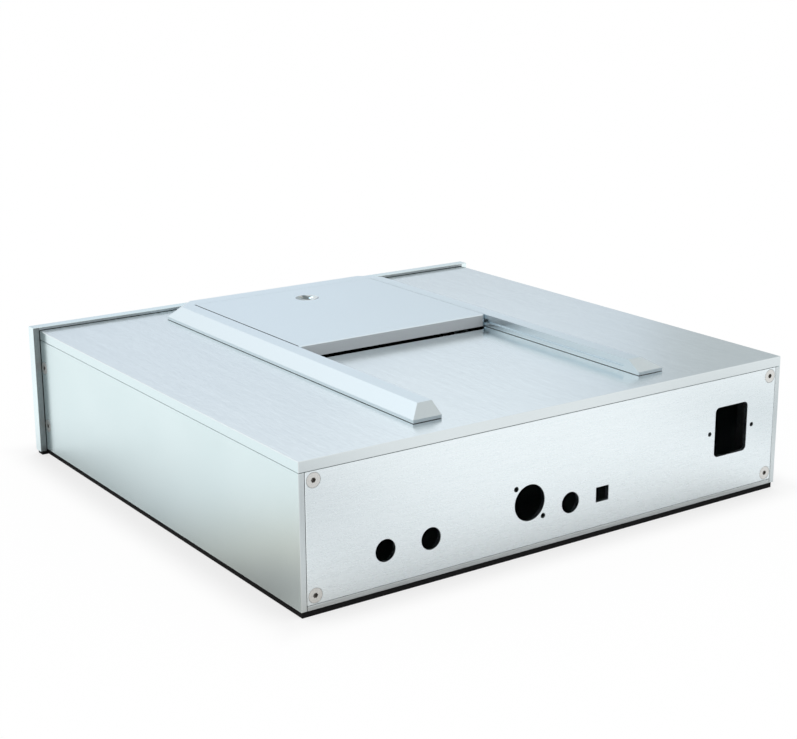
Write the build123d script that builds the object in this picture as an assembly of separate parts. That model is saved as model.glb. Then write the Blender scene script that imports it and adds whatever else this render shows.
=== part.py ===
from build123d import *
import math
import os

os.makedirs("parts", exist_ok=True)

# Chassis of a top-loading disc player. Millimetres, +Z up, front panel towards -Y.
# The origin is the bottom centre of the whole chassis.

# Box
case_width = 390.0
case_depth = 368.0
case_height = 92.0
top_plate_thick = 7.0
side_panel_thick = 4.0
rear_panel_thick = 3.0
bottom_plate_thick = 3.0
edge_break = 0.3
# How far a cutter runs past the face it starts from
cut_past = 1.0
# Joint above and below the rear panel, and between side panels and top plate
panel_gap = 0.2
# Joint beside the rear panel and the bottom plate
panel_side_gap = 0.3
# Joint behind the front panel, which only the front posts touch
panel_front_gap = 0.7

# Front panel
front_panel_thick = 8.5
front_panel_side_lap = 5.0
front_panel_rise = 2.4
front_panel_drop = 1.6

# Black mat under the box, thinner in front where the front panel drops into it
base_mat_front_thick = 2.4
base_mat_inset = 1.2

# Guide frame on the top plate
guide_inner_width = 161.6
rail_width = 21.2
guide_from_rear = 19.9
guide_height = 9.1
guide_wall_height = 2.4
guide_slope_run = 10.4
guide_bar_depth = 24.0
guide_from_front = 4.1
guide_corner_leg = 14.5
# Shadow line under the frame
foot_height = 0.2
foot_inset = 2.4

# Groove in each rail, closed at the rear so that it stops the lid
groove_from_deck = 3.1
groove_height = 2.9
groove_depth = 2.0
groove_end_wall = 15.0

# Sliding lid
lid_length = 153.0
lid_right_gap = 1.0
lid_left_gap = 0.2
lid_front_gap = 0.15
running_gap = 0.3
lid_chamfer = 0.5
lid_corner_radius = 2.0
dish_diameter = 18.4
dish_depth = 3.2
dish_from_lid_front = 29.5
dish_left_of_middle = 2.0

# Steel runners held in slots in the lid's sides, locked by set screws from below
runner_width = 8.5
runner_end_margin = 3.0
runner_slot_clearance = 0.05
runner_screw_diameter = 3.0
runner_screw_length = 5.5
runner_screw_socket = 1.5
runner_screw_recess = 0.3
runner_screw_from_tip = 6.0
runner_screw_end_margin = 20.0
runner_screws_per_side = 3

# Disc bay in the top plate
bay_front_ledge = 8.0
bay_side_ledge = 1.3
bay_slot = 6.8
bay_corner_radius = 9.0

# Transport plate hung under the bay
transport_thick = 3.0
transport_drop = 20.0
transport_side_lap = 15.5
transport_end_lap = 14.0
spacer_diameter = 8.0
spacer_spread = 120.0
spacer_from_bay = 7.0
mechanism_width = 100.0
mechanism_length = 76.0
mechanism_corner_radius = 5.0
mechanism_hole_diameter = 3.2
mechanism_hole_x = 112.0
mechanism_hole_y = 88.0

# Corner posts
post_size = 16.0
tie_from_side = 12.0
tie_from_end = 12.0

# Connector holes, heights from the underside of the aluminium
phono_hole_diameter = 14.4
phono_from_side = 75.4
phono_spacing = 33.2
phono_z = 25.2
round_hole_diameter = 24.2
round_x = 26.8
round_z = 31.8
round_screw_circle = 31.0
round_screw_diameter = 3.6
coax_hole_diameter = 14.3
coax_x = -6.7
coax_z = 24.8
square_width = 10.8
square_height = 10.2
square_x = -33.7
square_z = 25.2
inlet_width = 30.5
inlet_height = 35.2
inlet_corner_radius = 3.4
inlet_from_side = 45.6
inlet_z = 47.4
inlet_screw_spacing = 40.0
inlet_screw_diameter = 3.2

# Screws: both clearances are on the radius
screw_clearance = 0.05
head_clearance = 0.2
head_land = 0.3
tip_room = 0.6
panel_screw_diameter = 5.0
panel_head_diameter = 9.2
panel_screw_length = 14.0
panel_socket = 3.0
rear_screw_from_side = 9.8
rear_screw_from_top = 12.7
rear_screw_from_bottom = 8.8
side_screw_from_front = 5.2
side_screw_from_bottom = 19.5
side_screw_from_top = 27.7
m4_diameter = 4.0
m4_csk_head_diameter = 7.5
m4_head_diameter = 7.0
m4_head_height = 4.0
m4_socket = 3.0
m3_diameter = 3.0
m3_head_diameter = 5.5
m3_head_height = 3.0
m3_socket = 2.5
top_plate_skin = 1.6
front_screw_from_side = 6.0
front_screw_grip = 6.0
front_screw_from_bottom = 42.0
front_screw_from_top = 14.0
inner_screw_from_rear = 5.0
inner_screw_skin = 1.0
inner_screw_from_bottom = 30.0
inner_screw_from_top = 34.0
guide_screw_from_wall = 9.2
guide_screw_grip = 6.0
guide_screws_per_rail = 3
guide_screw_end_margin = 36.0
bar_screw_spread = 80.0
bar_screw_from_wall = 8.0

# Planes that the pieces share
front_y = -(front_panel_thick + case_depth) / 2
face_y = front_y + front_panel_thick
body_front_y = face_y + panel_front_gap
rear_y = face_y + case_depth
under_z = base_mat_front_thick + front_panel_drop
tray_z = under_z + bottom_plate_thick
deck_z = under_z + case_height
ceiling_z = deck_z - top_plate_thick
half_width = case_width / 2
inner_x = half_width - side_panel_thick
phono_x = half_width - phono_from_side
inlet_x = inlet_from_side - half_width
rear_inner_y = rear_y - rear_panel_thick

# Guide frame and lid
guide_half = guide_inner_width / 2
guide_front_y = face_y + guide_from_front
guide_rear_y = rear_y - guide_from_rear
bar_inner_y = guide_front_y + guide_bar_depth
guide_outer_x = guide_half + rail_width
guide_base_leg = guide_corner_leg + guide_slope_run * (2 - math.sqrt(2))
lid_front_y = bar_inner_y + lid_front_gap
lid_rear_y = lid_front_y + lid_length
lid_right_x = guide_half - lid_right_gap
lid_left_x = lid_left_gap - guide_half
groove_end_y = guide_rear_y - groove_end_wall
groove_low_z = deck_z + groove_from_deck
groove_high_z = groove_low_z + groove_height
runner_front_y = lid_front_y + runner_end_margin
runner_rear_y = lid_rear_y - runner_end_margin
runner_tip_x = guide_half + groove_depth - running_gap
runner_low_z = groove_low_z + running_gap
runner_high_z = groove_high_z - running_gap
lid_travel = groove_end_y - running_gap - runner_rear_y

# Disc bay and transport plate
bay_half = guide_half - bay_side_ledge
bay_front_y = bar_inner_y + bay_front_ledge
bay_rear_y = lid_rear_y + bay_slot
transport_half = bay_half + transport_side_lap
bay_mid_y = (bay_front_y + bay_rear_y) / 2
transport_top_z = ceiling_z - transport_drop
transport_under_z = transport_top_z - transport_thick
post_height = ceiling_z - tray_z

face_down = Rot(180, 0, 0)
face_back = Rot(-90, 0, 0)
face_right = Rot(0, 90, 0)
face_left = Rot(0, -90, 0)


def block(x0, x1, y0, y1, z0, z1):
    """A plain block between two corners."""
    middle = Pos((x0 + x1) / 2, (y0 + y1) / 2, (z0 + z1) / 2)
    return middle * Box(x1 - x0, y1 - y0, z1 - z0)


def plate(x0, x1, y0, y1, z0, z1):
    """A block with every edge broken."""
    body = block(x0, x1, y0, y1, z0, z1)
    return chamfer(body.edges(), edge_break)


def turned(points):
    """A solid turned about Z from points of radius and height."""
    outline = make_face(Polyline(*[(r, 0, z) for r, z in points], close=True))
    return revolve(outline, Axis.Z)


def socket_cut(across_flats, depth):
    """A hexagon socket below the plane z = 0."""
    hexagon = RegularPolygon(across_flats / math.sqrt(3), 6)
    return extrude(hexagon, -depth)


def countersunk_form(diameter, head, length, above):
    """Countersunk outline with its face at z = 0, run on above."""
    shank = diameter / 2
    rim = head / 2
    cone_end = -head_land - (rim - shank)
    points = [(0, above), (rim, above), (rim, -head_land)]
    points += [(shank, cone_end), (shank, -length), (0, -length)]
    return turned(points)


def countersunk_screw(diameter, head, length, socket):
    body = countersunk_form(diameter, head, length, 0)
    return body - socket_cut(socket, (head - diameter) / 2)


def countersunk_hole(diameter, head, length):
    bore = diameter + 2 * screw_clearance
    rim = head + 2 * head_clearance
    return countersunk_form(bore, rim, length + tip_room, cut_past)


def cap_screw(diameter, head, head_height, length, socket):
    """Cap screw with the underside of its head at z = 0."""
    points = [(0, head_height), (head / 2, head_height), (head / 2, 0)]
    points += [(diameter / 2, 0), (diameter / 2, -length), (0, -length)]
    cut = Pos(0, 0, head_height) * socket_cut(socket, head_height / 2)
    return turned(points) - cut


def cap_hole(diameter, length):
    """Hole for a cap screw, starting just above z = 0."""
    radius = diameter / 2 + screw_clearance
    end = -length - tip_room
    return turned([(0, cut_past), (radius, cut_past), (radius, end), (0, end)])


def set_screw(diameter, length, socket):
    """Set screw with its socket end at z = 0."""
    body = turned([(0, 0), (diameter / 2, 0), (diameter / 2, -length), (0, -length)])
    return body - socket_cut(socket, length / 3)


def put(shape, facing, spots):
    """Copies of one shape at each spot, as a list."""
    return [Pos(*spot) * facing * shape for spot in spots]


def mirrored_spots(spots):
    return [(-x, y, z) for x, y, z in spots]


def bored(body, cutters):
    for cutter in cutters:
        body = body - cutter
    return body


# Screw places, right side first where there is a facing
rear_spots = []
for side in (1, -1):
    for z in (under_z + rear_screw_from_bottom, deck_z - rear_screw_from_top):
        rear_spots.append((side * (half_width - rear_screw_from_side), rear_y, z))

side_spots_right = []
for z in (under_z + side_screw_from_bottom, deck_z - side_screw_from_top):
    side_spots_right.append((half_width, face_y + side_screw_from_front, z))

front_spots = []
for side in (1, -1):
    for z in (under_z + front_screw_from_bottom, deck_z - front_screw_from_top):
        x = side * (inner_x - front_screw_from_side)
        front_spots.append((x, face_y + post_size, z))

inner_spots_right = []
for z in (under_z + inner_screw_from_bottom, deck_z - inner_screw_from_top):
    y = rear_inner_y - inner_screw_from_rear
    inner_spots_right.append((inner_x - post_size, y, z))

tie_spots = []
for side in (1, -1):
    for y in (face_y + tie_from_end, rear_inner_y - tie_from_end):
        tie_spots.append((side * (inner_x - tie_from_side), y, under_z))

guide_spots = []
first_y = guide_front_y + guide_screw_end_margin
last_y = guide_rear_y - guide_screw_end_margin
for side in (1, -1):
    for i in range(guide_screws_per_rail):
        y = first_y + (last_y - first_y) * i / (guide_screws_per_rail - 1)
        guide_spots.append((side * (guide_half + guide_screw_from_wall), y, ceiling_z))
    bar_screw_y = bar_inner_y - bar_screw_from_wall
    guide_spots.append((side * bar_screw_spread / 2, bar_screw_y, ceiling_z))

spacer_spots = []
for side in (1, -1):
    for y in (bay_front_y - spacer_from_bay, bay_rear_y + spacer_from_bay):
        spacer_spots.append((side * spacer_spread / 2, y, transport_under_z))

runner_screw_spots = []
first_y = runner_front_y + runner_screw_end_margin
last_y = runner_rear_y - runner_screw_end_margin
for side in (1, -1):
    for i in range(runner_screws_per_side):
        y = first_y + (last_y - first_y) * i / (runner_screws_per_side - 1)
        x = side * (runner_tip_x - runner_screw_from_tip)
        runner_screw_spots.append((x, y, deck_z + running_gap + runner_screw_recess))

# Screw lengths that follow what they join
front_screw_length = post_size + front_screw_grip
inner_screw_length = post_size + side_panel_thick - inner_screw_skin - tip_room
tie_length = bottom_plate_thick + post_height + top_plate_thick - top_plate_skin
guide_screw_length = top_plate_thick + guide_screw_grip
transport_screw_length = transport_thick + transport_drop + top_plate_thick - top_plate_skin

panel_screw = countersunk_screw(
    panel_screw_diameter, panel_head_diameter, panel_screw_length, panel_socket
)
panel_hole = countersunk_hole(panel_screw_diameter, panel_head_diameter, panel_screw_length)
tie_screw = countersunk_screw(m4_diameter, m4_csk_head_diameter, tie_length, panel_socket)
tie_hole = countersunk_hole(m4_diameter, m4_csk_head_diameter, tie_length)
front_screw = cap_screw(
    m4_diameter, m4_head_diameter, m4_head_height, front_screw_length, m4_socket
)
front_hole = cap_hole(m4_diameter, front_screw_length)
inner_screw = cap_screw(
    m3_diameter, m3_head_diameter, m3_head_height, inner_screw_length, m3_socket
)
inner_hole = cap_hole(m3_diameter, inner_screw_length)
guide_screw = cap_screw(
    m4_diameter, m4_head_diameter, m4_head_height, guide_screw_length, m4_socket
)
guide_hole = cap_hole(m4_diameter, guide_screw_length)
transport_screw = cap_screw(
    m4_diameter, m4_head_diameter, m4_head_height, transport_screw_length, m4_socket
)
transport_hole = cap_hole(m4_diameter, transport_screw_length)

runner_screw = set_screw(runner_screw_diameter, runner_screw_length, runner_screw_socket)
runner_hole = cap_hole(runner_screw_diameter, runner_screw_length)

rear_cuts = put(panel_hole, face_back, rear_spots)
side_cuts_right = put(panel_hole, face_right, side_spots_right)
side_cuts_left = put(panel_hole, face_left, mirrored_spots(side_spots_right))
front_cuts = put(front_hole, face_back, front_spots)
inner_cuts_right = put(inner_hole, face_left, inner_spots_right)
inner_cuts_left = put(inner_hole, face_right, mirrored_spots(inner_spots_right))
tie_cuts = put(tie_hole, face_down, tie_spots)
guide_cuts = put(guide_hole, face_down, guide_spots)
transport_cuts = put(transport_hole, face_down, spacer_spots)
runner_cuts = put(runner_hole, face_down, runner_screw_spots)


def make_front_panel():
    reach = half_width + front_panel_side_lap
    high = deck_z + front_panel_rise
    body = plate(-reach, reach, front_y, face_y, base_mat_front_thick, high)
    return bored(body, front_cuts)


def make_side_panel(side):
    x0, x1 = sorted((side * inner_x, side * half_width))
    body = plate(x0, x1, body_front_y, rear_y, under_z, ceiling_z - panel_gap)
    if side > 0:
        return bored(body, side_cuts_right + inner_cuts_right)
    return bored(body, side_cuts_left + inner_cuts_left)


def make_bottom_plate():
    reach = inner_x - panel_side_gap
    return bored(plate(-reach, reach, body_front_y, rear_y, under_z, tray_z), tie_cuts)


def make_base_mat():
    reach = half_width - base_mat_inset
    body = block(-reach, reach, face_y, rear_y - base_mat_inset, 0, under_z)
    reach += front_panel_side_lap
    y0 = front_y + base_mat_inset
    return body + block(-reach, reach, y0, face_y, 0, base_mat_front_thick)


def rear_round(diameter, x, z):
    """A round cutter through the rear panel."""
    hole = Rot(90, 0, 0) * Cylinder(diameter / 2, rear_panel_thick + 2 * cut_past)
    return Pos(x, rear_y - rear_panel_thick / 2, under_z + z) * hole


def rear_slot(width, height, radius, x, z):
    """A rectangular cutter through the rear panel, its corners rounded if asked."""
    depth = rear_panel_thick + 2 * cut_past
    hole = Box(width, depth, height)
    if radius:
        hole = fillet(hole.edges().filter_by(Axis.Y), radius)
    return Pos(x, rear_y - rear_panel_thick / 2, under_z + z) * hole


def make_rear_panel():
    reach = inner_x - panel_side_gap
    low = tray_z + panel_gap
    high = ceiling_z - panel_gap
    body = plate(-reach, reach, rear_inner_y, rear_y, low, high)
    cuts = [rear_round(round_hole_diameter, round_x, round_z)]
    offset = round_screw_circle / 2 / math.sqrt(2)
    for side in (1, -1):
        x = round_x + side * offset
        cuts.append(rear_round(round_screw_diameter, x, round_z + side * offset))
    for side in (1, -1):
        cuts.append(
            rear_round(phono_hole_diameter, phono_x + side * phono_spacing / 2, phono_z)
        )
        inlet_screw_x = inlet_x + side * inlet_screw_spacing / 2
        cuts.append(rear_round(inlet_screw_diameter, inlet_screw_x, inlet_z))
    cuts.append(rear_round(coax_hole_diameter, coax_x, coax_z))
    cuts.append(rear_slot(square_width, square_height, 0, square_x, square_z))
    cuts.append(rear_slot(inlet_width, inlet_height, inlet_corner_radius, inlet_x, inlet_z))
    return bored(body, cuts + rear_cuts)


def make_top_plate():
    body = plate(-half_width, half_width, body_front_y, rear_y, ceiling_z, deck_z)
    depth = top_plate_thick + 2 * cut_past
    bay = Box(2 * bay_half, bay_rear_y - bay_front_y, depth)
    bay = fillet(bay.edges().filter_by(Axis.Z), bay_corner_radius)
    body = body - Pos(0, bay_mid_y, (deck_z + ceiling_z) / 2) * bay
    return bored(body, tie_cuts + guide_cuts + transport_cuts)


def guide_outline(inset, rear_inset, leg, z):
    """Outer outline of the guide frame at height z, its front corners cut."""
    x = guide_outer_x - inset
    y0 = guide_front_y + inset
    y1 = guide_rear_y - rear_inset
    points = [(x, y1), (x, y0 + leg), (x - leg, y0)]
    points += [(leg - x, y0), (-x, y0 + leg), (-x, y1)]
    return make_face(Polyline(*[(px, py, z) for px, py in points], close=True))


def make_guide_frame():
    foot_leg = guide_base_leg - foot_inset * (2 - math.sqrt(2))
    foot = extrude(guide_outline(foot_inset, foot_inset, foot_leg, deck_z), foot_height)
    wall_z = deck_z + foot_height
    wall = extrude(guide_outline(0, 0, guide_base_leg, wall_z), guide_wall_height - foot_height)
    low = guide_outline(0, 0, guide_base_leg, deck_z + guide_wall_height)
    top_z = deck_z + guide_height
    high = guide_outline(guide_slope_run, guide_slope_run, guide_corner_leg, top_z)
    body = foot + wall + loft([low, high], ruled=True)
    past = guide_rear_y + cut_past
    body = body - block(-guide_half, guide_half, bar_inner_y, past, wall_z, top_z + cut_past)
    foot_half = guide_half + foot_inset
    foot_y = bar_inner_y - foot_inset
    body = body - block(-foot_half, foot_half, foot_y, past, deck_z - cut_past, wall_z)
    reach = guide_half + groove_depth
    body = body - block(-reach, reach, bar_inner_y, groove_end_y, groove_low_z, groove_high_z)
    return bored(body, guide_cuts)


def make_runner(side):
    x0, x1 = sorted((side * runner_tip_x, side * (runner_tip_x - runner_width)))
    body = block(x0, x1, runner_front_y, runner_rear_y, runner_low_z, runner_high_z)
    return bored(body, runner_cuts)


def make_lid():
    low = deck_z + running_gap
    high = deck_z + guide_height
    body = block(lid_left_x, lid_right_x, lid_front_y, lid_rear_y, low, high)
    body = fillet(body.edges().filter_by(Axis.Z).sort_by(Axis.Y)[-2:], lid_corner_radius)
    top_edges = body.faces().sort_by(Axis.Z)[-1].edges().sort_by(Axis.Y)
    body = chamfer(top_edges[-3:], lid_chamfer)
    # The chamfer follows the rounds onto the sides, which are filled back to sharp edges
    straight_y = lid_rear_y - lid_corner_radius
    body = body + block(lid_left_x, lid_right_x, lid_front_y, straight_y, low, high)
    # Each slot is deep enough to take its whole runner while the lid is fitted
    slack = runner_slot_clearance
    for side, edge_x in ((1, lid_right_x), (-1, lid_left_x)):
        slot_x = edge_x - side * (runner_width + slack)
        x0, x1 = sorted((slot_x, edge_x + side * cut_past))
        y0 = runner_front_y - slack
        y1 = runner_rear_y + slack
        body = body - block(x0, x1, y0, y1, runner_low_z - slack, runner_high_z + slack)
    body = bored(body, runner_cuts)
    dish_radius = ((dish_diameter / 2) ** 2 + dish_depth**2) / (2 * dish_depth)
    dish_y = lid_front_y + dish_from_lid_front
    dish_z = high - dish_depth + dish_radius
    return body - Pos(-dish_left_of_middle, dish_y, dish_z) * Sphere(dish_radius)


def make_post(side, rear):
    x0, x1 = sorted((side * inner_x, side * (inner_x - post_size)))
    y0 = rear_inner_y - post_size if rear else face_y
    body = block(x0, x1, y0, y0 + post_size, tray_z, ceiling_z)
    cuts = list(tie_cuts)
    if rear:
        cuts += rear_cuts + (inner_cuts_right if side > 0 else inner_cuts_left)
    else:
        cuts += front_cuts + (side_cuts_right if side > 0 else side_cuts_left)
    return bored(body, cuts)


def make_transport_plate():
    y0 = bay_front_y - transport_end_lap
    y1 = bay_rear_y + transport_end_lap
    body = plate(-transport_half, transport_half, y0, y1, transport_under_z, transport_top_z)
    depth = transport_thick + 2 * cut_past
    mid_z = (transport_under_z + transport_top_z) / 2
    window = Box(mechanism_width, mechanism_length, depth)
    window = fillet(window.edges().filter_by(Axis.Z), mechanism_corner_radius)
    body = body - Pos(0, bay_mid_y, mid_z) * window
    hole = Cylinder(mechanism_hole_diameter / 2, depth)
    for sx in (1, -1):
        for sy in (1, -1):
            y = bay_mid_y + sy * mechanism_hole_y / 2
            body = body - Pos(sx * mechanism_hole_x / 2, y, mid_z) * hole
    return bored(body, transport_cuts)


def make_spacers():
    tube = Cylinder(spacer_diameter / 2, transport_drop)
    tube = tube - Cylinder(m4_diameter / 2 + screw_clearance, transport_drop + 2 * cut_past)
    return [Pos(x, y, transport_top_z + transport_drop / 2) * tube for x, y, z in spacer_spots]


def save(name, shape):
    solids = shape if isinstance(shape, list) else [shape]
    whole = Compound([solid for item in solids for solid in item.solids()])
    export_step(whole, f"parts/{name}.step")


save("front_panel", make_front_panel())
save("right_side_panel", make_side_panel(1))
save("left_side_panel", make_side_panel(-1))
save("rear_panel", make_rear_panel())
save("top_plate", make_top_plate())
save("bottom_plate", make_bottom_plate())
save("base_mat", make_base_mat())
save("guide_frame", make_guide_frame())
save("lid", make_lid())
save("right_lid_runner", make_runner(1))
save("left_lid_runner", make_runner(-1))
save("lid_runner_screws", put(runner_screw, face_down, runner_screw_spots))
save("front_right_post", make_post(1, False))
save("front_left_post", make_post(-1, False))
save("rear_right_post", make_post(1, True))
save("rear_left_post", make_post(-1, True))
save("transport_plate", make_transport_plate())
save("transport_spacers", make_spacers())
save("transport_plate_screws", put(transport_screw, face_down, spacer_spots))
save("rear_panel_screws", put(panel_screw, face_back, rear_spots))
side_screws = put(panel_screw, face_right, side_spots_right)
side_screws += put(panel_screw, face_left, mirrored_spots(side_spots_right))
save("side_panel_screws", side_screws)
save("front_panel_screws", put(front_screw, face_back, front_spots))
inner_screws = put(inner_screw, face_left, inner_spots_right)
inner_screws += put(inner_screw, face_right, mirrored_spots(inner_spots_right))
save("side_panel_inner_screws", inner_screws)
save("corner_tie_screws", put(tie_screw, face_down, tie_spots))
save("guide_frame_screws", put(guide_screw, face_down, guide_spots))

print("lid travel", round(lid_travel, 3))
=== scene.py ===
import math

import bpy
from mathutils import Matrix, Vector


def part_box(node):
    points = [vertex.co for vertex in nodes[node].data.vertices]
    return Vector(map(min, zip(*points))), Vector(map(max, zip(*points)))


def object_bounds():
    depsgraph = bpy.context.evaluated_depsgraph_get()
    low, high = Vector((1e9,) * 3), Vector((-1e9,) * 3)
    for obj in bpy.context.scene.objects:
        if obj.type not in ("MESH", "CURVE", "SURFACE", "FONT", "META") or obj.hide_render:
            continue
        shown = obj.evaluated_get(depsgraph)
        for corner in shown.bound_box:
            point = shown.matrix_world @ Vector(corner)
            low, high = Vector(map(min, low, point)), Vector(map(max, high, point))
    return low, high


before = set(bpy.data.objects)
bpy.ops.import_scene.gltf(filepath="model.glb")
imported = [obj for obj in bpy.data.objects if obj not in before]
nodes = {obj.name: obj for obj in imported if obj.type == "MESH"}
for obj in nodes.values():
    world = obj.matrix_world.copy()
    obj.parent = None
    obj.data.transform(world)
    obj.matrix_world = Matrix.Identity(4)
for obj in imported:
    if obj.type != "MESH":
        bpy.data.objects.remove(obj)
cadBox = [list(corner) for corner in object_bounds()]
mm = 0.001
print("frame loaded,", len(nodes), "nodes")


# Shared helpers
def hexToLinear(code):
    channels = [int(code[i:i + 2], 16) / 255 for i in (1, 3, 5)]
    return [c / 12.92 if c <= 0.04045 else ((c + 0.055) / 1.055) ** 2.4 for c in channels] + [1.0]


def addNode(tree, kind, values=None, links=None, **options):
    # values go on the node's sockets, links join them to other nodes, options are its own settings
    node = tree.nodes.new(kind)
    for name, option in options.items():
        setattr(node, name, option)
    for socket, value in (values or {}).items():
        node.inputs[socket].default_value = value
    for socket, source in (links or {}).items():
        tree.links.new(source, node.inputs[socket])
    return node


def newMaterial(name, metallic):
    material = bpy.data.materials.new(name)
    material.use_nodes = True
    shader = material.node_tree.nodes["Principled BSDF"]
    shader.inputs["Metallic"].default_value = metallic
    return material, material.node_tree, shader


def dress(material, *names):
    # the CAD node keeps its mesh and only gets a new finish
    for name in names:
        mesh = nodes[name].data
        mesh.materials.clear()
        mesh.materials.append(material)


# Patterns and finishes that several pieces share
noiseLow, noiseHigh = 0.3, 0.7      # nearly all of a noise lies between these


def stretchedNoise(tree, sizeMm, detail):
    # noise whose blotches measure about sizeMm along X, Y and Z
    coords = addNode(tree, "ShaderNodeTexCoord")
    scale = [1 / (size * mm) for size in sizeMm]
    mapping = addNode(tree, "ShaderNodeMapping", {"Scale": scale}, {"Vector": coords.outputs["Object"]})
    return addNode(tree, "ShaderNodeTexNoise", {"Scale": 1.0, "Detail": detail},
                   {"Vector": mapping.outputs["Vector"]}).outputs["Fac"]


def shaded(tree, pattern, dark, light):
    # a tone that follows the pattern all the way from dark to light
    share = addNode(tree, "ShaderNodeMapRange", {"From Min": noiseLow, "From Max": noiseHigh},
                    {"Value": pattern})
    return addNode(tree, "ShaderNodeMix", {6: hexToLinear(dark), 7: hexToLinear(light)},
                   {0: share.outputs["Result"]}, data_type="RGBA").outputs[2]


def finish(tree, shader, tone, pattern, s, strength=1.0):
    # the tone, with a roughness and a bump that follow the pattern
    rough = addNode(tree, "ShaderNodeMapRange",
                    {"From Min": noiseLow, "From Max": noiseHigh,
                     "To Min": s["roughnessLow"], "To Max": s["roughnessHigh"]}, {"Value": pattern})
    bump = addNode(tree, "ShaderNodeBump", {"Strength": strength, "Distance": s["depthMm"] * mm},
                   {"Height": pattern})
    tree.links.new(tone, shader.inputs["Base Color"])
    tree.links.new(rough.outputs["Result"], shader.inputs["Roughness"])
    tree.links.new(bump.outputs["Normal"], shader.inputs["Normal"])


def evenFinish(name, metallic, s, strength=1.0):
    # one grain gives the tone, the roughness and the bump
    material, tree, shader = newMaterial(name, metallic)
    grain = stretchedNoise(tree, s["grainMm"], s["detail"])
    finish(tree, shader, shaded(tree, grain, s["dark"], s["light"]), grain, s, strength)
    return material, tree, shader, grain


def beyond(tree, axis, limit, comparison="GREATER_THAN"):
    # 1 where the object coordinate along that axis is past the limit, or short of it with LESS_THAN
    coords = addNode(tree, "ShaderNodeTexCoord")
    place = addNode(tree, "ShaderNodeSeparateXYZ", None, {0: coords.outputs["Object"]})
    return addNode(tree, "ShaderNodeMath", {1: limit}, {0: place.outputs[axis]},
                   operation=comparison).outputs[0]


def allOf(tree, *masks):
    # 1 only where every mask is 1
    product = masks[0]
    for mask in masks[1:]:
        product = addNode(tree, "ShaderNodeMath", None, {0: product, 1: mask},
                          operation="MULTIPLY").outputs[0]
    return product


def layOver(tree, shader, where, tone, roughness=None):
    # another finish over the one so far, where the mask is 1; tone is a hex code or a node's output
    under = shader.inputs["Base Color"].links[0].from_socket
    mixed = addNode(tree, "ShaderNodeMix", None, {0: where, 6: under}, data_type="RGBA")
    if isinstance(tone, str):
        mixed.inputs[7].default_value = hexToLinear(tone)
    else:
        tree.links.new(tone, mixed.inputs[7])
    tree.links.new(mixed.outputs[2], shader.inputs["Base Color"])
    if roughness is not None:
        under = shader.inputs["Roughness"].links[0].from_socket
        rough = addNode(tree, "ShaderNodeMix", {3: roughness}, {0: where, 2: under}, data_type="FLOAT")
        tree.links.new(rough.outputs[0], shader.inputs["Roughness"])


# Brushed and clear anodised plate: long fine lines that catch the light one by one
brushing = {
    "lineWidthMm": 0.45,    # real lines are near 0.1 mm, drawn coarser so that they show
    "lineLengthMm": 7.0, "lineDetail": 2.0,
    "bandWidthMm": 4.0,     # faint wider bands, as the belt leaves them
    "bandLengthMm": 60.0, "bandDetail": 1.0,
    "bandShare": 0.35,      # how strongly a band shows, against a line
}
rearPanel = {
    "dark": "#EBF4F7", "light": "#F2FAFD",
    "roughnessLow": 0.265, "roughnessHigh": 0.295, "depthMm": 0.0002,
}
topPlate = {
    "dark": "#E4EDF0", "light": "#F4FCFE",
    "roughnessLow": 0.185, "roughnessHigh": 0.215, "depthMm": 0.0004,
    # its thickness faces are lapped and a shade greyer, the limits take in the broken edges
    "sideEdge": "#E0F1F4", "topFaceMm": 0.4,
    "rearEdge": "#DDE5E7", "rearFaceMm": 0.35,
}


def brushedAluminium(name, s, along):
    # along is the axis that the brush ran: 0 for X, 1 for Y
    material, tree, shader = newMaterial(name, 1.0)
    lineSize = [brushing["lineWidthMm"]] * 3
    lineSize[along] = brushing["lineLengthMm"]
    bandSize = [brushing["bandWidthMm"]] * 3
    bandSize[along] = brushing["bandLengthMm"]
    lines = stretchedNoise(tree, lineSize, brushing["lineDetail"])
    bands = stretchedNoise(tree, bandSize, brushing["bandDetail"])
    both = addNode(tree, "ShaderNodeMath", {1: brushing["bandShare"]}, {0: bands, 2: lines},
                   operation="MULTIPLY_ADD")
    evened = addNode(tree, "ShaderNodeMath", {1: 1 / (1 + brushing["bandShare"])}, {0: both.outputs[0]},
                     operation="MULTIPLY")
    finish(tree, shader, shaded(tree, evened.outputs[0], s["dark"], s["light"]), lines, s)
    return material, tree, shader


def brushedTop():
    s = topPlate
    material, tree, shader = brushedAluminium("brushedPlateAlongY", s, 1)
    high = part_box("top_plate")[1]
    layOver(tree, shader, beyond(tree, 2, high.z - s["topFaceMm"] * mm, "LESS_THAN"), s["sideEdge"])
    layOver(tree, shader, beyond(tree, 1, high.y - s["rearFaceMm"] * mm), s["rearEdge"])
    return material


dress(brushedTop(), "top_plate")
dress(brushedAluminium("brushedPlateAlongX", rearPanel, 0)[0], "rear_panel")
print("brushed plates dressed")


# Satin anodised plate: etched smooth, so it shows only soft gradients
satin = {
    "etchMm": 0.6, "etchDetail": 2.0,       # etch pits are near 0.02 mm, drawn coarser
    "cloudMm": 60.0, "cloudDetail": 1.0,
    "roughnessLow": 0.23, "roughnessHigh": 0.27, "depthMm": 0.0003,
}
sidePanel = {
    "dark": "#DDEEF0", "light": "#E2F2F4",
    "rearEdge": "#D5DDDF", "rearFaceMm": 0.35,
}
frontPanel = {
    "dark": "#E8F9FC", "light": "#EEFCFE",      # the thick plate came out paler
    # its back is left as milled, duller and greyer; its rim past the right side panel is darker still,
    # painted shade in the step
    "backDark": "#B0B9BC", "backLight": "#C4CDD2", "backRoughness": 0.48, "backFaceMm": 0.05,
    "rimShadeDark": "#888F91", "rimShadeLight": "#989E9F",
    # black painted shade on its back in the joint behind it, standing out a little past the box
    "jointShade": "#060707", "jointShadeOutMm": 0.3,
}


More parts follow.
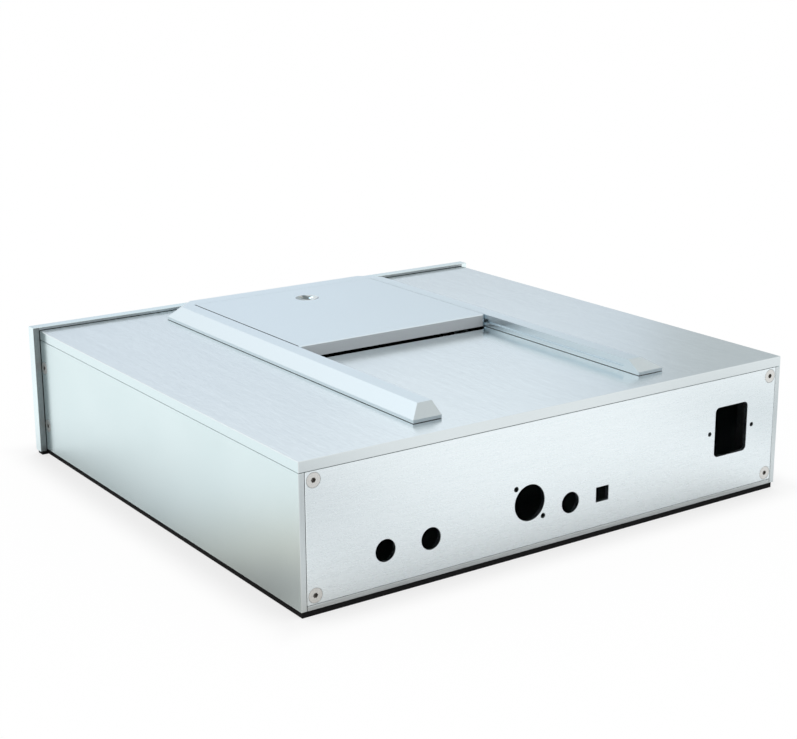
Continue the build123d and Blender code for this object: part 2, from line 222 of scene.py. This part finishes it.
def satinAluminium(name, dark, light):
    s = satin
    material, tree, shader = newMaterial(name, 1.0)
    etch = stretchedNoise(tree, [s["etchMm"]] * 3, s["etchDetail"])
    clouds = stretchedNoise(tree, [s["cloudMm"]] * 3, s["cloudDetail"])
    finish(tree, shader, shaded(tree, clouds, dark, light), etch, s)
    return material, tree, shader, etch


def satinSide():
    s = sidePanel
    material, tree, shader, etch = satinAluminium("satinAnodised", s["dark"], s["light"])
    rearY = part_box("right_side_panel")[1].y
    layOver(tree, shader, beyond(tree, 1, rearY - s["rearFaceMm"] * mm), s["rearEdge"])
    return material


def satinFront():
    s = frontPanel
    material, tree, shader, etch = satinAluminium("satinAnodisedMilledBack", s["dark"], s["light"])
    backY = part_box("front_panel")[1].y
    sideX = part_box("right_side_panel")[1].x
    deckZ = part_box("top_plate")[1].z
    # the rim past the left side panel is polished like the front
    onBack = allOf(tree, beyond(tree, 1, backY - s["backFaceMm"] * mm), beyond(tree, 0, -sideX))
    layOver(tree, shader, onBack, shaded(tree, etch, s["backDark"], s["backLight"]), s["backRoughness"])
    # the rim past the right side panel gets a darker tone: painted shade in the step
    onShadedRim = allOf(tree, onBack, beyond(tree, 0, sideX))
    layOver(tree, shader, onShadedRim, shaded(tree, etch, s["rimShadeDark"], s["rimShadeLight"]))
    out = s["jointShadeOutMm"] * mm
    onJointShade = allOf(tree, onBack, beyond(tree, 0, sideX + out, "LESS_THAN"),
                   beyond(tree, 2, deckZ + out, "LESS_THAN"))
    # painted shade: the back turns black where it meets the box, drawing a dark joint line
    layOver(tree, shader, onJointShade, s["jointShade"])
    return material


dress(satinSide(), "right_side_panel", "left_side_panel")
dress(satinFront(), "front_panel")
print("satin plates dressed")


# Bead blasted and anodised: an even fine grain, duller than the plates around it
blasted = {
    "dark": "#E3F0F7", "light": "#E9F6FC",
    "roughnessLow": 0.28, "roughnessHigh": 0.33,
    "grainMm": [0.5, 0.5, 0.5], "detail": 2.0,      # bead marks are near 0.1 mm, drawn coarser
    "depthMm": 0.0006,
}
# Painted shade along the guide frame's foot: black, seen as a thin dark line where it meets the top plate
footShade = {"colour": "#060707", "heightMm": 0.32}
# The dish is turned with a ball cutter after blasting and left bright
dish = {
    "acrossMm": -2.0, "fromLidFrontMm": 29.5, "radiusMm": 9.2, "rimMm": 0.3, "lipMm": 0.05,
    "roughness": 0.07, "ringMm": 0.45, "ringDepthMm": 0.0003,     # cutter rings, drawn coarser
    "dark": "#CFD8DB", "light": "#E0E9EC",
}
# The lid's rear face is drawn as matt grey non-metal: painted shade that keeps it an even grey, darker
# than the top, mirroring nothing
rearFaceShade = {"dark": "#CCD6DC", "light": "#D2DCE2", "roughness": 0.6, "metallic": 0.0, "faceMm": 0.05}
# Painted shade on the lid's sides: dark, seen as a line in the gap beside each rail
sideGapShade = {"colour": "#6E7477", "reachMm": 0.1}


def blastedFrame():
    material, tree, shader, grain = evenFinish("blastedAnodised", 1.0, blasted)
    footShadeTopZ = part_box("top_plate")[1].z + footShade["heightMm"] * mm
    # the lowest part of the frame, up to the height given, is painted black as shade at its foot
    layOver(tree, shader, beyond(tree, 2, footShadeTopZ, "LESS_THAN"), footShade["colour"])
    return material


def turnDish(tree, shader, centre):
    s = dish
    coords = addNode(tree, "ShaderNodeTexCoord")
    fromCentre = addNode(tree, "ShaderNodeVectorMath", {1: centre}, {0: coords.outputs["Object"]},
                         operation="SUBTRACT")
    parts = addNode(tree, "ShaderNodeSeparateXYZ", None, {0: fromCentre.outputs[0]})
    flat = addNode(tree, "ShaderNodeCombineXYZ", None, {0: parts.outputs[0], 1: parts.outputs[1]})
    away = addNode(tree, "ShaderNodeVectorMath", None, {0: flat.outputs[0]}, operation="LENGTH")
    within = addNode(tree, "ShaderNodeMath", {1: (s["radiusMm"] + s["rimMm"]) * mm},
                     {0: away.outputs["Value"]}, operation="LESS_THAN")
    below = beyond(tree, 2, centre[2] - s["lipMm"] * mm, "LESS_THAN")
    inDish = allOf(tree, within.outputs[0], below)
    turns = addNode(tree, "ShaderNodeMath", {1: 2 * math.pi / (s["ringMm"] * mm)},
                    {0: away.outputs["Value"]}, operation="MULTIPLY")
    rings = addNode(tree, "ShaderNodeMath", None, {0: turns.outputs[0]}, operation="SINE").outputs[0]
    layOver(tree, shader, inDish, shaded(tree, rings, s["dark"], s["light"]), s["roughness"])
    ringBump = addNode(tree, "ShaderNodeBump", {"Strength": 1.0, "Distance": s["ringDepthMm"] * mm},
                       {"Height": rings})
    under = shader.inputs["Normal"].links[0].from_socket
    normal = addNode(tree, "ShaderNodeMix", None, {0: inDish, 4: under, 5: ringBump.outputs["Normal"]},
                     data_type="VECTOR")
    tree.links.new(normal.outputs[1], shader.inputs["Normal"])


def blastedLid():
    material, tree, shader, grain = evenFinish("blastedAnodisedWithDish", 1.0, blasted)
    low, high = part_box("lid")
    turnDish(tree, shader, [dish["acrossMm"] * mm, low.y + dish["fromLidFrontMm"] * mm, high.z])
    s = rearFaceShade
    # the rear face gets the grey matt non-metal finish: painted shade
    onShadedRear = beyond(tree, 1, high.y - s["faceMm"] * mm)
    layOver(tree, shader, onShadedRear, shaded(tree, grain, s["dark"], s["light"]), s["roughness"])
    metal = addNode(tree, "ShaderNodeMix", {2: 1.0, 3: s["metallic"]}, {0: onShadedRear}, data_type="FLOAT")
    tree.links.new(metal.outputs[0], shader.inputs["Metallic"])
    # the lid's side faces get the dark tone: painted shade in the gap beside each rail
    reach = sideGapShade["reachMm"] * mm
    layOver(tree, shader, beyond(tree, 0, high.x - reach), sideGapShade["colour"])
    layOver(tree, shader, beyond(tree, 0, low.x + reach, "LESS_THAN"), sideGapShade["colour"])
    return material


dress(blastedFrame(), "guide_frame")
dress(blastedLid(), "lid")
print("guide frame and lid dressed")


# Plain milled aluminium: faint overlapping cutter marks, no coating
milled = {
    "dark": "#BFC5C6", "light": "#D2D8D9",
    "roughnessLow": 0.30, "roughnessHigh": 0.42,
    "grainMm": [30.0, 1.2, 1.2], "detail": 2.0,     # length of a cutter pass, then its feed
    "depthMm": 0.0015,
}
dress(evenFinish("plainMilled", 1.0, milled)[0], "bottom_plate", "front_right_post", "front_left_post",
      "rear_right_post", "rear_left_post", "transport_spacers")


# Black anodised plate: dyed oxide, so a soft grey sheen over black
blackPlate = {
    "dark": "#101113", "light": "#1A1B1E",
    "roughnessLow": 0.42, "roughnessHigh": 0.52,
    "grainMm": [14.0, 0.6, 0.6], "detail": 2.0,     # rolling lines along X, drawn coarser
    "depthMm": 0.0015,
}
dress(evenFinish("blackAnodised", 0.0, blackPlate)[0], "transport_plate")


# Black rubber mat: swallows light, with the fine pebble of a moulded sheet
rubber = {
    "dark": "#070708", "light": "#0D0D0E",
    "roughnessLow": 0.78, "roughnessHigh": 0.92,
    "grainMm": [1.1, 1.1, 1.1], "detail": 3.0,
    "depthMm": 0.05, "strength": 0.6,
    "ior": 1.5, "specular": 0.25,
}


def blackRubber():
    material, tree, shader, pebble = evenFinish("blackRubber", 0.0, rubber, rubber["strength"])
    shader.inputs["IOR"].default_value = rubber["ior"]
    shader.inputs["Specular IOR Level"].default_value = rubber["specular"]
    return material


dress(blackRubber(), "base_mat")


# Stainless screws: turned heads, a little warmer than the anodised plates, with painted shade in the
# sockets
stainless = {
    "dark": "#D8D8D5", "light": "#E8E8E5",
    "roughnessLow": 0.24, "roughnessHigh": 0.33,
    "grainMm": [0.35, 0.35, 0.35], "detail": 2.0,       # turning marks, drawn coarser
    "depthMm": 0.0008,
    "socketShadeDark": "#A3A09C", "socketShadeLight": "#B9B6B2", "socketShadeFromMm": 0.2,
}


def stainlessSteel(nodeName, faceAxis):
    # the heads' faces lie at the ends of the group's box along faceAxis, None for cap screws
    s = stainless
    material, tree, shader, marks = evenFinish("stainless_" + nodeName, 1.0, s)
    if faceAxis is not None:
        low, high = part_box(nodeName)
        depth = s["socketShadeFromMm"] * mm
        shadedSocket = allOf(tree, beyond(tree, faceAxis, low[faceAxis] + depth),
                         beyond(tree, faceAxis, high[faceAxis] - depth, "LESS_THAN"))
        # below the heads' faces the tone is darker: painted shade in the sockets
        layOver(tree, shader, shadedSocket, shaded(tree, marks, s["socketShadeDark"], s["socketShadeLight"]))
    return material


screwFaces = {"rear_panel_screws": 1, "side_panel_screws": 0, "corner_tie_screws": 2,
              "lid_runner_screws": 2, "front_panel_screws": None, "side_panel_inner_screws": None,
              "guide_frame_screws": None, "transport_plate_screws": None}
for nodeName, faceAxis in screwFaces.items():
    dress(stainlessSteel(nodeName, faceAxis), nodeName)


# Ground steel runners: straight fine grinding lines along the slide
groundSteel = {
    "dark": "#9FA2A4", "light": "#BDC0C2",
    "roughnessLow": 0.22, "roughnessHigh": 0.32,
    "grainMm": [0.3, 20.0, 0.3], "detail": 2.0,     # grinding lines along Y, drawn coarser
    "depthMm": 0.001,
}
dress(evenFinish("groundSteel", 1.0, groundSteel)[0], "right_lid_runner", "left_lid_runner")
print("inner pieces, mat and screws dressed")


# Camera, solved from the photograph's own edges
view = {
    "place": (0.63976, 0.93210, 0.39159),
    "azimuth": 55.386, "elevation": 15.63, "roll": -0.257,
    "lens": 73.542, "sensor": 36.0,
}


def direction(azimuth, elevation):
    # degrees, azimuth counted from +X towards +Y
    turn, rise = math.radians(azimuth), math.radians(elevation)
    return Vector((math.cos(rise) * math.cos(turn), math.cos(rise) * math.sin(turn), math.sin(rise)))


def makeCamera():
    back = direction(view["azimuth"], view["elevation"])
    roll = math.radians(view["roll"])
    right = Vector((0, 0, 1)).cross(back).normalized()
    up = back.cross(right)
    rolledRight = math.cos(roll) * right + math.sin(roll) * up
    rolledUp = math.cos(roll) * up - math.sin(roll) * right
    data = bpy.data.cameras.new("photoCamera")
    data.lens = view["lens"]
    data.sensor_width = view["sensor"]
    camera = bpy.data.objects.new("photoCamera", data)
    turn = Matrix((rolledRight, rolledUp, back)).transposed().to_4x4()
    camera.matrix_world = Matrix.Translation(view["place"]) @ turn
    bpy.context.scene.collection.objects.link(camera)
    bpy.context.scene.camera = camera


makeCamera()


def flatPiece(name, materialName, halfX, halfY):
    # a flat rectangle for the floor or a card, its material still empty
    mesh = bpy.data.meshes.new(name)
    mesh.from_pydata([(-halfX, -halfY, 0), (halfX, -halfY, 0), (halfX, halfY, 0), (-halfX, halfY, 0)],
                     [], [(0, 1, 2, 3)])
    piece = bpy.data.objects.new(name, mesh)
    bpy.context.scene.collection.objects.link(piece)
    material = bpy.data.materials.new(materialName)
    material.use_nodes = True
    material.node_tree.nodes.clear()
    material.cycles.emission_sampling = "NONE"
    mesh.materials.append(material)
    return piece, material.node_tree


# White floor: it keeps a light shadow of the object, deeper where the metal mirrors it
floor = {
    "colour": "#FDFDFD", "halfSize": 14.0,
    # share of glow beside the case, share further out and how far out that is, in metres
    "seenNear": 0.66, "seenFar": 0.965, "seenTo": 0.03,
    "mirrorNear": 0.0, "mirrorFar": 0.76, "mirrorTo": 0.16,
}
# Soft pools of painted shade, some tinted, that only show mirrored in the metal, in metres
mirroredShadePools = [
    {"place": (0.13, 0.40, 0.0), "radius": 0.21, "colour": "#C2C4C6"},
    {"place": (0.265, 0.125, 0.0), "radius": 0.18, "colour": "#EEE5DA"},
    {"place": (0.213, 0.14, 0.0), "radius": 0.08, "colour": "#D5CFCB"},
    {"place": (-0.33, 0.33, 0.0), "radius": 0.15, "colour": "#D6D8D9"},
]


def makeFloor():
    piece, tree = flatPiece("floor", "paleFloor", floor["halfSize"], floor["halfSize"])
    paths = addNode(tree, "ShaderNodeLightPath")
    mirrored = addNode(tree, "ShaderNodeMath", None,
                       {0: paths.outputs["Is Glossy Ray"], 1: paths.outputs["Is Transmission Ray"]},
                       operation="MAXIMUM")
    coords = addNode(tree, "ShaderNodeTexCoord")
    parts = addNode(tree, "ShaderNodeSeparateXYZ", None, {0: coords.outputs["Object"]})
    outside = []
    for axis in (0, 1):
        away = addNode(tree, "ShaderNodeMath", None, {0: parts.outputs[axis]}, operation="ABSOLUTE")
        past = addNode(tree, "ShaderNodeMath", {1: cadBox[1][axis]}, {0: away.outputs[0]},
                       operation="SUBTRACT")
        outside.append(past.outputs[0])
    fromCase = addNode(tree, "ShaderNodeMath", None, {0: outside[0], 1: outside[1]}, operation="MAXIMUM")
    glow = {}
    for who in ("seen", "mirror"):
        reached = addNode(tree, "ShaderNodeMapRange",
                          {"From Max": floor[who + "To"], "To Min": floor[who + "Near"],
                           "To Max": floor[who + "Far"]},
                          {"Value": fromCase.outputs[0]}, interpolation_type="SMOOTHSTEP")
        glow[who] = reached.outputs[0]
    colour = addNode(tree, "ShaderNodeRGB").outputs[0]
    colour.default_value = hexToLinear(floor["colour"])
    for spot in mirroredShadePools:
        away = addNode(tree, "ShaderNodeVectorMath", {1: spot["place"]}, {0: coords.outputs["Object"]},
                       operation="DISTANCE")
        shade = addNode(tree, "ShaderNodeMapRange",
                        {"From Min": spot["radius"], "From Max": 0.0, "To Min": 0.0, "To Max": 1.0},
                        {"Value": away.outputs["Value"]}, interpolation_type="SMOOTHSTEP")
        pool = allOf(tree, shade.outputs[0], mirrored.outputs[0])
        colour = addNode(tree, "ShaderNodeMix", {7: hexToLinear(spot["colour"])}, {0: pool, 6: colour},
                         data_type="RGBA").outputs[2]
        clear = addNode(tree, "ShaderNodeMath", {0: 1.0}, {1: pool}, operation="SUBTRACT")
        glow["mirror"] = allOf(tree, glow["mirror"], clear.outputs[0])
    mirrorPart = allOf(tree, glow["mirror"], mirrored.outputs[0])
    whiteShare = addNode(tree, "ShaderNodeMath", None,
                         {0: paths.outputs["Is Camera Ray"], 1: glow["seen"], 2: mirrorPart},
                         operation="MULTIPLY_ADD")
    matt = addNode(tree, "ShaderNodeBsdfDiffuse", None, {"Color": colour})
    white = addNode(tree, "ShaderNodeEmission", {"Color": (1, 1, 1, 1), "Strength": 1.0})
    mixed = addNode(tree, "ShaderNodeMixShader", None,
                    {0: whiteShare.outputs[0], 1: matt.outputs[0], 2: white.outputs[0]})
    addNode(tree, "ShaderNodeOutputMaterial", None, {"Surface": mixed.outputs[0]})


makeFloor()


# White room: the even light all round, and what the metal mirrors between the cards
def makeRoom():
    world = bpy.data.worlds.new("whiteRoom")
    bpy.context.scene.world = world
    world.use_nodes = True
    tree = world.node_tree
    tree.nodes.clear()
    background = addNode(tree, "ShaderNodeBackground", {"Color": (1, 1, 1, 1), "Strength": 1.0})
    addNode(tree, "ShaderNodeOutputWorld", None, {"Surface": background.outputs[0]})


makeRoom()
# metal throws no light back onto the floor, so the shadow beside the plates stays
bpy.context.scene.cycles.caustics_reflective = False


# Studio cards, out of the camera's sight: they only show as soft tones in the metal.
# azimuth is counted from +X towards +Y, angles in degrees, seen from the object, distance in metres
cards = {
    "paleBlueCard": {"azimuth": -121, "elevation": 14, "across": 42, "tall": 38,
                     "softAcross": 7, "softTall": 19, "distance": 6.0, "colour": "#D9E1EA"},
    "brightBand": {"azimuth": -128, "elevation": 21, "across": 15, "tall": 12,
                   "softAcross": 6, "softTall": 5, "distance": 5.6, "colour": "#F6FBFF"},
    "paleGreyCard": {"azimuth": -98, "elevation": 12, "across": 30, "tall": 34,
                     "softAcross": 9, "softTall": 12, "distance": 6.0, "colour": "#BFC3CB"},
    "darkFlatLeft": {"azimuth": -156, "elevation": 22, "across": 56, "tall": 56,
                     "softAcross": 13, "softTall": 12, "distance": 5.8, "colour": "#BEC3C5"},
    "neutralLow": {"azimuth": -130, "elevation": 5.6, "across": 21, "tall": 15,
                   "softAcross": 7, "softTall": 6, "distance": 5.75, "colour": "#ADADA9"},
    "darkCeiling": {"azimuth": -138, "elevation": 63, "across": 56, "tall": 46,
                    "softAcross": 12, "softTall": 12, "distance": 5.7, "colour": "#878C8C"},
    "warmCard": {"azimuth": -176, "elevation": 53, "across": 34, "tall": 28,
                 "softAcross": 8, "softTall": 8, "distance": 5.4, "colour": "#D6D2CC"},
    "greySide": {"azimuth": -48, "elevation": 14, "across": 50, "tall": 36,
                 "softAcross": 10, "softTall": 10, "distance": 6.0, "colour": "#E0E0E0"},
    "cameraSide": {"azimuth": 62, "elevation": 16, "across": 46, "tall": 40,
                   "softAcross": 10, "softTall": 10, "distance": 6.0, "colour": "#2E3336"},
    "greyFlatBehind": {"azimuth": 118, "elevation": 15, "across": 50, "tall": 32,
                       "softAcross": 7, "softTall": 7, "distance": 6.0, "colour": "#808080"},
}


def makeCard(name):
    s = cards[name]
    back = direction(s["azimuth"], s["elevation"])
    halfAcross = s["distance"] * math.tan(math.radians(s["across"] / 2))
    halfTall = s["distance"] * math.tan(math.radians(s["tall"] / 2))
    card, tree = flatPiece(name, name, halfAcross, halfTall)
    turn = back.to_track_quat("Z", "Y").to_matrix().to_4x4()
    card.matrix_world = Matrix.Translation(back * s["distance"]) @ turn
    card.visible_camera = False
    card.visible_diffuse = False
    card.visible_shadow = False
    coords = addNode(tree, "ShaderNodeTexCoord")
    centred = addNode(tree, "ShaderNodeVectorMath", {1: (0.5, 0.5, 0.0)}, {0: coords.outputs["Generated"]},
                      operation="SUBTRACT")
    sides = addNode(tree, "ShaderNodeSeparateXYZ", None, {0: centred.outputs[0]})
    fades = []
    for axis, share in ((0, s["softAcross"] / s["across"]), (1, s["softTall"] / s["tall"])):
        far = addNode(tree, "ShaderNodeMath", None, {0: sides.outputs[axis]}, operation="ABSOLUTE")
        fade = addNode(tree, "ShaderNodeMapRange",
                       {"From Min": 0.5, "From Max": 0.5 - share, "To Min": 0.0, "To Max": 1.0},
                       {"Value": far.outputs[0]}, interpolation_type="SMOOTHSTEP")
        fades.append(fade.outputs[0])
    clear = addNode(tree, "ShaderNodeBsdfTransparent")
    shade = addNode(tree, "ShaderNodeEmission", {"Color": hexToLinear(s["colour"]), "Strength": 1.0})
    mixed = addNode(tree, "ShaderNodeMixShader", None,
                    {0: allOf(tree, *fades), 1: clear.outputs[0], 2: shade.outputs[0]})
    addNode(tree, "ShaderNodeOutputMaterial", None, {"Surface": mixed.outputs[0]})


for name in cards:
    makeCard(name)


# One soft lamp, high in front of the case and slightly blue
softbox = {"place": (-0.10, -1.36, 2.20), "size": 0.6, "power": 2.3, "colour": "#D6EDFF"}


def makeSoftbox():
    data = bpy.data.lights.new("frontSoftbox", "AREA")
    data.size = softbox["size"]
    data.energy = softbox["power"]
    data.color = hexToLinear(softbox["colour"])[:3]
    lamp = bpy.data.objects.new("frontSoftbox", data)
    lamp.location = softbox["place"]
    lamp.rotation_mode = "QUATERNION"
    lamp.rotation_quaternion = Vector(softbox["place"]).to_track_quat("Z", "Y")
    bpy.context.scene.collection.objects.link(lamp)


makeSoftbox()
print("camera, floor, room, cards and lamp ready")

bpy.context.scene.view_settings.view_transform = "Standard"

print("scene ready")
